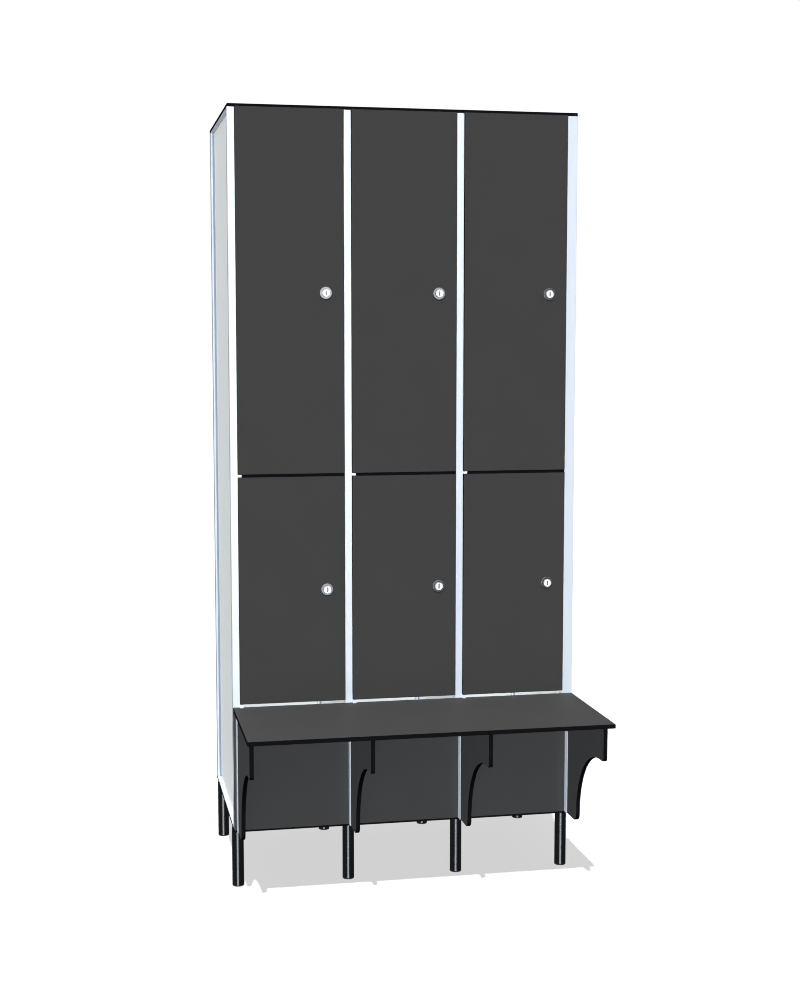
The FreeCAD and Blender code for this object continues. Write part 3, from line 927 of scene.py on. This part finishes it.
@dataclass
class CamLocks:
    """Cam locks: a flanged, threaded housing with its nut, and a cylinder with keyway, cam and screw."""

    flange: float = 0.01475
    flange_height: float = 0.0025
    rim: float = 0.0008
    rim_steps: int = 5
    land: float = 0.0002
    seat: float = 0.0098
    seat_floor: float = 0.0015
    seat_chamfer: float = 0.0003
    body: float = 0.0095
    body_end: float = -0.024
    bore: float = 0.00605
    door: float = 0.008
    nut_corner: float = 0.01385
    nut_height: float = 0.005
    nut_edge: float = 0.0004
    hole_sides: int = 48
    thread_pitch: float = 0.0011
    thread_depth: float = 0.00045
    head: float = 0.0095
    head_back: float = 0.0018
    edge_start: float = 0.0069
    face: float = 0.0090
    face_height: float = 0.0075
    face_lip: float = 0.0003
    plug: float = 0.006
    keyway: Point = (0.003, 0.0115, 0.0035)
    keyway_round_share: float = 0.45
    cam_length: float = 0.041
    cam_width: float = 0.014
    cam_round_share: float = 0.98
    cam_edge: float = 0.0003
    cam_front: float = -0.0243
    cam_thickness: float = 0.002
    screw_head: float = 0.0045
    screw_height: float = 0.0025
    ring: TurnedNickelFinish = TurnedNickelFinish()
    # The cylinder's finish paints shade in its keyway and on its head's sides.
    core: TurnedNickelFinish = TurnedNickelFinish(
        base=(0.96, 0.97, 0.98, 1.0), mark=(0.92, 0.93, 0.95, 1.0), keyway_shade=(0.20, 0.21, 0.23, 1.0),
        metallic=0.15, roughness=0.35,
    )

    def housing(self) -> Piece:
        """Model the housing and its nut.

        Returns:
            The housing, the key side up.
        """
        top, seat, chamfer = self.flange_height, self.seat, self.seat_chamfer
        inner, shoulder = self.flange - self.rim, top - self.rim
        rounding = [math.radians(90 * step / self.rim_steps) for step in range(self.rim_steps + 1)]
        rim = [(inner + self.rim * math.cos(a), shoulder + self.rim * math.sin(a)) for a in rounding]
        thread = []
        level = self.body_end + self.thread_pitch
        while level < -self.door - self.nut_height - self.thread_pitch:
            thread += [(self.body - self.thread_depth, level), (self.body, level + self.thread_pitch / 2)]
            level += self.thread_pitch
        profile = [(self.bore, self.body_end), (self.body - self.thread_depth, self.body_end)] + thread
        profile += [(self.body, 0.0), (self.flange, 0.0)] + rim
        profile += [
            (inner - self.land, top), (seat + chamfer, top), (seat, top - chamfer), (seat, self.seat_floor),
            (self.bore, self.seat_floor),
        ]
        housing = Workshop.turn("lock_housing", profile)
        nut = Workshop.prism("lock_nut", HEXAGON, self.nut_corner, -self.door - self.nut_height, -self.door)
        hole = Workshop.prism("nut_hole", self.hole_sides, self.body, -2 * self.door - self.nut_height, 0.0)
        Workshop.cut(nut, hole)
        Workshop.soften(nut, self.nut_edge, angle=25.0)
        made = Workshop.join([housing, nut], "lock_housing")
        Workshop.smooth(made, angle=30.0)
        return made

    def cylinder(self) -> Piece:
        """Model the turning cylinder with its cam and cam screw.

        Returns:
            The cylinder, the key side up.
        """
        face, top, lip = self.face, self.face_height, self.face_lip
        profile = [
            (0.0, self.cam_front), (self.plug, self.cam_front), (self.plug, self.head_back),
            (self.head, self.head_back), (self.head, self.edge_start), (face + lip, top - lip), (face, top),
            (face - 2 * lip, top), (face - 3 * lip, top - lip), (0.0, top - lip),
        ]
        cylinder = Workshop.turn("lock_cylinder", profile)
        width, height, depth = self.keyway
        low = (-width / 2, -height / 2, top - depth)
        slot = Workshop.block("keyway", low, (width / 2, height / 2, top + depth))
        Workshop.round_corners(slot, self.keyway_round_share * width, segments=5)
        Workshop.cut(cylinder, slot)
        rear = self.cam_front - self.cam_thickness
        half = self.cam_width / 2
        cam = Workshop.block("lock_cam", (-half, -self.cam_length, rear), (half, half, self.cam_front))
        Workshop.round_corners(cam, self.cam_round_share * half, segments=12)
        Workshop.soften(cam, self.cam_edge, angle=50.0)
        wide, tall = self.screw_head, self.screw_height
        back = rear - tall
        dome = [
            (0.0, back), (0.6 * wide, back), (0.85 * wide, back + 0.15 * tall), (wide, back + 0.5 * tall),
            (wide, rear), (0.0, rear),
        ]
        screw = Workshop.turn("cam_screw", dome, steps=40)
        floor = back + 0.6 * tall
        socket = Workshop.prism("cam_screw_socket", HEXAGON, 0.4 * wide, 2 * back, floor, SOCKET_TURN)
        Workshop.cut(screw, socket)
        made = Workshop.join([cylinder, cam, screw], "lock_cylinder")
        Workshop.smooth(made, angle=30.0)
        return made

    def build(self) -> None:
        """Model one lock, copy it into each door and register the copies."""
        housing = self.housing()
        cylinder = self.cylinder()
        places = {joint["name"]: joint["pos_m"] for joint in frame["joints"]}
        for tier in Tier:
            for column in COLUMNS:
                name = f"{tier.value}_{column}"
                lock = f"{tier.value}_lock_{column}"
                place = places[f"{lock}_turn"]
                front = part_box(f"door_{name}")[0].y
                where = (place[0], front, place[2])
                face = (place[0], front - self.face_height, place[2])
                ring = self.ring.material(f"turned_ring_{name}", face)
                core = self.core.material(f"turned_core_{name}", face)
                made = Workshop.copy(housing, f"cam_lock_housing_{name}", where, Turn.FORWARD)
                add_piece(made, ring, f"{tier.value}_door_{column}", f"lock_housing_{name}")
                made = Workshop.copy(cylinder, f"cam_lock_cylinder_{name}", where, Turn.FORWARD)
                add_piece(made, core, lock, f"lock_cylinder_{name}")
        Workshop.discard(housing, cylinder)


@dataclass
class CoatPegs:
    """Turned pegs on the back wall of the lockers."""

    length: float = 0.052
    base: float = 0.015
    stem: float = 0.005
    knob: float = 0.009
    drop: float = 0.13
    finish: AnodisedFinish = AnodisedFinish(roughness=0.34)

    def peg(self) -> Piece:
        """Model one peg.

        Returns:
            The peg, along Z with its base at the origin.
        """
        base, stem, knob, end = self.base, self.stem, self.knob, self.length
        profile = [
            (0.0, 0.0), (base, 0.0), (base, 0.0014), (base - 0.0008, 0.0024), (0.75 * base, 0.0034),
            (0.5 * base, 0.0046), (stem + 0.0008, 0.0075), (stem, 0.013), (stem, end - 0.018),
            (stem + 0.0006, end - 0.012), (0.8 * knob, end - 0.009), (knob, end - 0.0065),
            (knob, end - 0.0035), (0.88 * knob, end - 0.0012), (0.55 * knob, end - 0.0002), (0.0, end),
        ]
        peg = Workshop.turn("coat_peg", profile, steps=48)
        Workshop.smooth(peg, angle=50.0)
        return peg

    def build(self) -> None:
        """Copy the peg to each locker and register the copies."""
        peg = self.peg()
        metal = self.finish.material("anodised_peg", Axis.Y)
        for column in COLUMNS:
            wall = f"back_panel_{column}"
            for tier, roof in ((Tier.LOWER, f"tier_shelf_{column}"), (Tier.UPPER, "top_panel")):
                place = (middle_x(wall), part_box(wall)[0].y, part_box(roof)[0].z - self.drop)
                made = Workshop.copy(peg, f"coat_peg_{tier.value}_{column}", place, Turn.FORWARD)
                add_piece(made, metal, CABINET, "coat_pegs")
        Workshop.discard(peg)


Places = list[tuple[Point, Turn]]


@dataclass
class Screws:
    """Countersunk screws with a hexagon socket."""

    head: float = 0.0045
    shank: float = 0.002
    head_height: float = 0.002
    socket: float = 0.0021
    socket_depth: float = 0.0014
    edge: float = 0.00015
    port_setback: float = 0.0089
    port_length: float = 0.032
    strike_length: float = 0.009
    strike_spacing: float = 0.03
    channel_length: float = 0.017
    finish: MottledFinish = ZINC_PLATE

    def screw(self, length: float) -> Piece:
        """Model one screw, its head face on Z = 0 and its shank down.

        Args:
            length: Length over all.

        Returns:
            The screw.
        """
        head, shank, edge = self.head, self.shank, self.edge
        profile = [
            (0.0, 0.0), (head - edge, 0.0), (head, -edge), (shank, -self.head_height),
            (shank, -length + shank), (0.4 * shank, -length), (0.0, -length),
        ]
        screw = Workshop.turn("screw", profile, steps=40)
        socket = Workshop.prism("screw_socket", HEXAGON, self.socket, -self.socket_depth, head, SOCKET_TURN)
        Workshop.cut(screw, socket)
        Workshop.smooth(screw, angle=30.0)
        return screw

    def place_set(self, node: str, length: float, places: Places, steel: Material) -> None:
        """Copy a screw to every place of one node and join the copies.

        Args:
            node: CAD node that the set stands for.
            length: Length of the screws.
            places: Place and turn of each screw.
            steel: Finish.
        """
        pattern = self.screw(length)
        copies = [Workshop.copy(pattern, node + "_copy", place, turn) for place, turn in places]
        Workshop.discard(pattern)
        add_piece(Workshop.join(copies, node + "_set"), steel, CABINET, node)

    def panel_places(self) -> Places:
        """Find the screws through the top and base panels.

        Returns:
            Place and turn of each screw.
        """
        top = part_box("top_panel")[1].z
        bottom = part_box("base_panel")[0].z
        found = []
        for number in FRAMES:
            x = middle_x(f"front_upright_{number}")
            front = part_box(f"front_upright_{number}")[0].y
            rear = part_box(f"rear_upright_{number}")[1].y
            for y in (front + self.port_setback, rear - self.port_setback):
                found += [((x, y, top), Turn.UP), ((x, y, bottom), Turn.DOWN)]
        return found

    def strike_places(self) -> Places:
        """Find the screws through the strike plates.

        Returns:
            Place and turn of each screw.
        """
        low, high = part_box("strike_screws")
        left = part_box("front_upright_2")[0].x
        found = []
        for column in COLUMNS:
            x = low.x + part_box(f"front_upright_{column + 1}")[0].x - left
            for tier in Tier:
                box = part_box(f"lock_housing_{tier.value}_{column}")
                middle = (box[0].z + box[1].z) / 2
                for side in (-1, 1):
                    z = middle + side * self.strike_spacing / 2
                    found.append(((x, (low.y + high.y) / 2, z), Turn.LEFT))
        return found

    def channel_places(self) -> Places:
        """Find the screws through the bracket channels.

        Returns:
            Place and turn of each screw.
        """
        low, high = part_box("channel_screws")
        heights = (low.z + self.head, (low.z + high.z) / 2, high.z - self.head)
        found = []
        for number in FRAMES:
            x = middle_x(f"front_upright_{number}")
            found += [((x, low.y, z), Turn.FORWARD) for z in heights]
        return found

    def build(self) -> None:
        """Build the panel, strike and channel screws."""
        steel = self.finish.material("zinc_screw")
        self.place_set("panel_screws", self.port_length, self.panel_places(), steel)
        self.place_set("strike_screws", self.strike_length, self.strike_places(), steel)
        self.place_set("channel_screws", self.channel_length, self.channel_places(), steel)


@dataclass(frozen=True)
class Sun:
    """One parallel light: its direction, strength, width in degrees and whether it is sampled both ways."""

    name: str
    path: Point
    strength: float
    angle: float
    shared: bool = True


@dataclass
class Studio:
    """White room, floor, lights and camera."""

    camera_place: Point = (-0.7662, -3.8538, 1.3349)
    camera_turn: Point = (84.300, 0.0, -11.261)
    lens: float = 57.32
    sensor: float = 36.0
    pixel_filter: float = 1.0
    dome_low: float = 0.12
    dome_above: float = 0.25
    dome_behind: float = 0.5
    wall_low: float = 0.10
    wall_above: float = 0.25
    slope: float = 0.8
    horizon: tuple[float, float] = (-0.03, 0.02)
    horizon_glow: float = 0.18
    floor_size: float = 60.0
    floor_glow: float = 0.63
    floor_base: float = 0.1
    floor_sun: Sun = Sun("floor_sun", (0.1557, 0.7706, -1.0), 22.0, 0.8)
    key_sun: Sun = Sun("key_sun", (0.1557, 0.7706, -1.0), 3.0, 3.0)
    front_sun: Sun = Sun("front_sun", (0.1943, 0.9760, -0.0995), 0.50, 50.0)
    left_sun: Sun = Sun("left_sun", (1.0, 0.25, -0.1), 1.6, 10.0)
    right_sun: Sun = Sun("right_sun", (-1.0, 0.0, 0.0), 1.0, 10.0)
    metal_sun: Sun = Sun("metal_sun", (0.1943, 0.9760, -0.0995), 0.85, 50.0, False)
    leg_sun: Sun = Sun("leg_sun", (0.186, 0.933, 0.309), 3.8, 30.0)

    def room(self) -> None:
        """Light the room: white to the eye, bright above and behind, with a plainer wall for mirrors."""
        scene = bpy.context.scene
        scene.view_settings.view_transform = "Standard"
        scene.world = bpy.data.worlds.new("white_room")
        scene.world.use_nodes = True
        scene.world.cycles.sampling_method = "NONE"
        scene.cycles.use_light_tree = False
        graph = Graph(scene.world.node_tree)
        way = graph.node("ShaderNodeTexCoord", output="Generated")
        y, z = graph.part(way, Axis.Y), graph.part(way, Axis.Z)
        seen = graph.node("ShaderNodeLightPath", output="Is Camera Ray")
        mirrored = graph.node("ShaderNodeLightPath", output="Is Glossy Ray")
        wall = self.wall_low + z.step(0.0, self.slope) * self.wall_above
        dome = self.dome_low + z.step(0.0, 1.0) * self.dome_above + y.step(0.0, self.slope) * self.dome_behind
        white = 1.0 + (1.0 - z.step(*self.horizon)) * self.horizon_glow
        light = dome.toward(wall, mirrored).toward(white, seen)
        background = graph.node("ShaderNodeBackground", None, {"Color": WHITE, "Strength": light})
        graph.node("ShaderNodeOutputWorld", None, {"Surface": background})

    def floor(self) -> Piece:
        """Lay the pale floor.

        Returns:
            The floor.
        """
        Workshop.clear()
        bpy.ops.mesh.primitive_plane_add(size=self.floor_size)
        floor = bpy.context.object
        floor.name = "studio_floor"
        material, graph = new_material("pale_floor")
        graph.surface(
            Base_Color=grey(self.floor_base),
            Roughness=1.0,
            Specular_IOR_Level=0.0,
            Emission_Color=WHITE,
            Emission_Strength=self.floor_glow,
        )
        floor.data.materials.append(material)
        floor.visible_diffuse = False
        floor.visible_glossy = False
        return floor

    @staticmethod
    def group(name: str, members: Iterable[Piece], reach: Reach = Reach.MEMBERS) -> bpy.types.Collection:
        """Make a light group.

        Args:
            name: Name of the group.
            members: Objects in it.
            reach: Whether it stands for them or for the others.

        Returns:
            The group.
        """
        made = bpy.data.collections.new(name)
        for member in members:
            made.objects.link(member)
        for link in made.collection_objects:
            link.light_linking.link_state = reach.value
        return made

    @staticmethod
    def named(start: str) -> list[Piece]:
        """Pieces whose name has a given start."""
        return [piece for piece in bpy.context.scene.objects if piece.name.startswith(start)]

    @staticmethod
    def lamp(sun: Sun) -> Piece:
        """Add a sun.

        Args:
            sun: Its values.

        Returns:
            The lamp.
        """
        Workshop.clear()
        bpy.ops.object.light_add(type="SUN", location=[-LAMP_DISTANCE * value for value in sun.path])
        lamp = bpy.context.object
        lamp.name = sun.name
        lamp.data.energy = sun.strength
        lamp.data.angle = math.radians(sun.angle)
        lamp.data.cycles.use_multiple_importance_sampling = sun.shared
        lamp.rotation_euler = Vector(sun.path).to_track_quat("-Z", "Y").to_euler()
        return lamp

    def camera(self) -> None:
        """Set the camera where the photograph was taken from."""
        Workshop.clear()
        bpy.ops.object.camera_add(location=self.camera_place)
        camera = bpy.context.object
        camera.name = "photo_camera"
        camera.rotation_euler = [math.radians(value) for value in self.camera_turn]
        camera.data.lens = self.lens
        camera.data.sensor_width = self.sensor
        camera.data.sensor_fit = "AUTO"
        bpy.context.scene.cycles.filter_width = self.pixel_filter
        bpy.context.scene.camera = camera

    def light(self, floor: Piece) -> None:
        """Set the suns, each for its own group of pieces.

        Args:
            floor: The floor.
        """
        nodes = frame["nodes"]
        front_bars = [nodes[f"front_upright_{number}"] for number in FRAMES]
        rear_bars = [nodes[f"rear_upright_{number}"] for number in FRAMES]
        rings = self.named("cam_lock_housing_")
        cores = self.named("cam_lock_cylinder_")
        for core in cores:
            core.visible_glossy = False
        dull = [floor, *rings, nodes["top_rails"]]
        plain = [*dull, *cores, *front_bars, *rear_bars]
        bright = [*front_bars, *cores, nodes["pivot_blocks"]]
        floor_only = self.group("floor_only", [floor])
        legs_only = self.group("legs_only", self.named("leg_tube_"))
        inner = self.group("inner_only", [nodes["leg_studs"]])
        flanges = self.group("lock_flanges", [nodes["leg_studs"], *rings])
        self.lamp(self.floor_sun).light_linking.receiver_collection = floor_only
        lights = [
            (self.key_sun, self.group("key_side", dull, Reach.OTHERS), flanges),
            (self.front_sun, self.group("front_side", [floor], Reach.OTHERS), inner),
            (self.left_sun, self.group("left_side", plain, Reach.OTHERS), inner),
            (self.right_sun, self.group("right_side", [nodes["side_panel_right"]]), inner),
            (self.metal_sun, self.group("bright_metal", bright), inner),
            (self.leg_sun, legs_only, legs_only),
        ]
        for sun, receivers, blockers in lights:
            linking = self.lamp(sun).light_linking
            linking.receiver_collection = receivers
            linking.blocker_collection = blockers

    def build(self) -> None:
        """Set up the room, floor, lights and camera."""
        self.room()
        self.light(self.floor())
        self.camera()


def main() -> None:
    """Build and dress the whole unit in its studio."""
    logging.basicConfig(level=logging.INFO, format="%(name)s: %(message)s")
    Boards().dress()
    Frames().dress()
    Legs().build()
    CamLocks().build()
    CoatPegs().build()
    Screws().build()
    Studio().build()


if __name__ == "__main__":
    main()
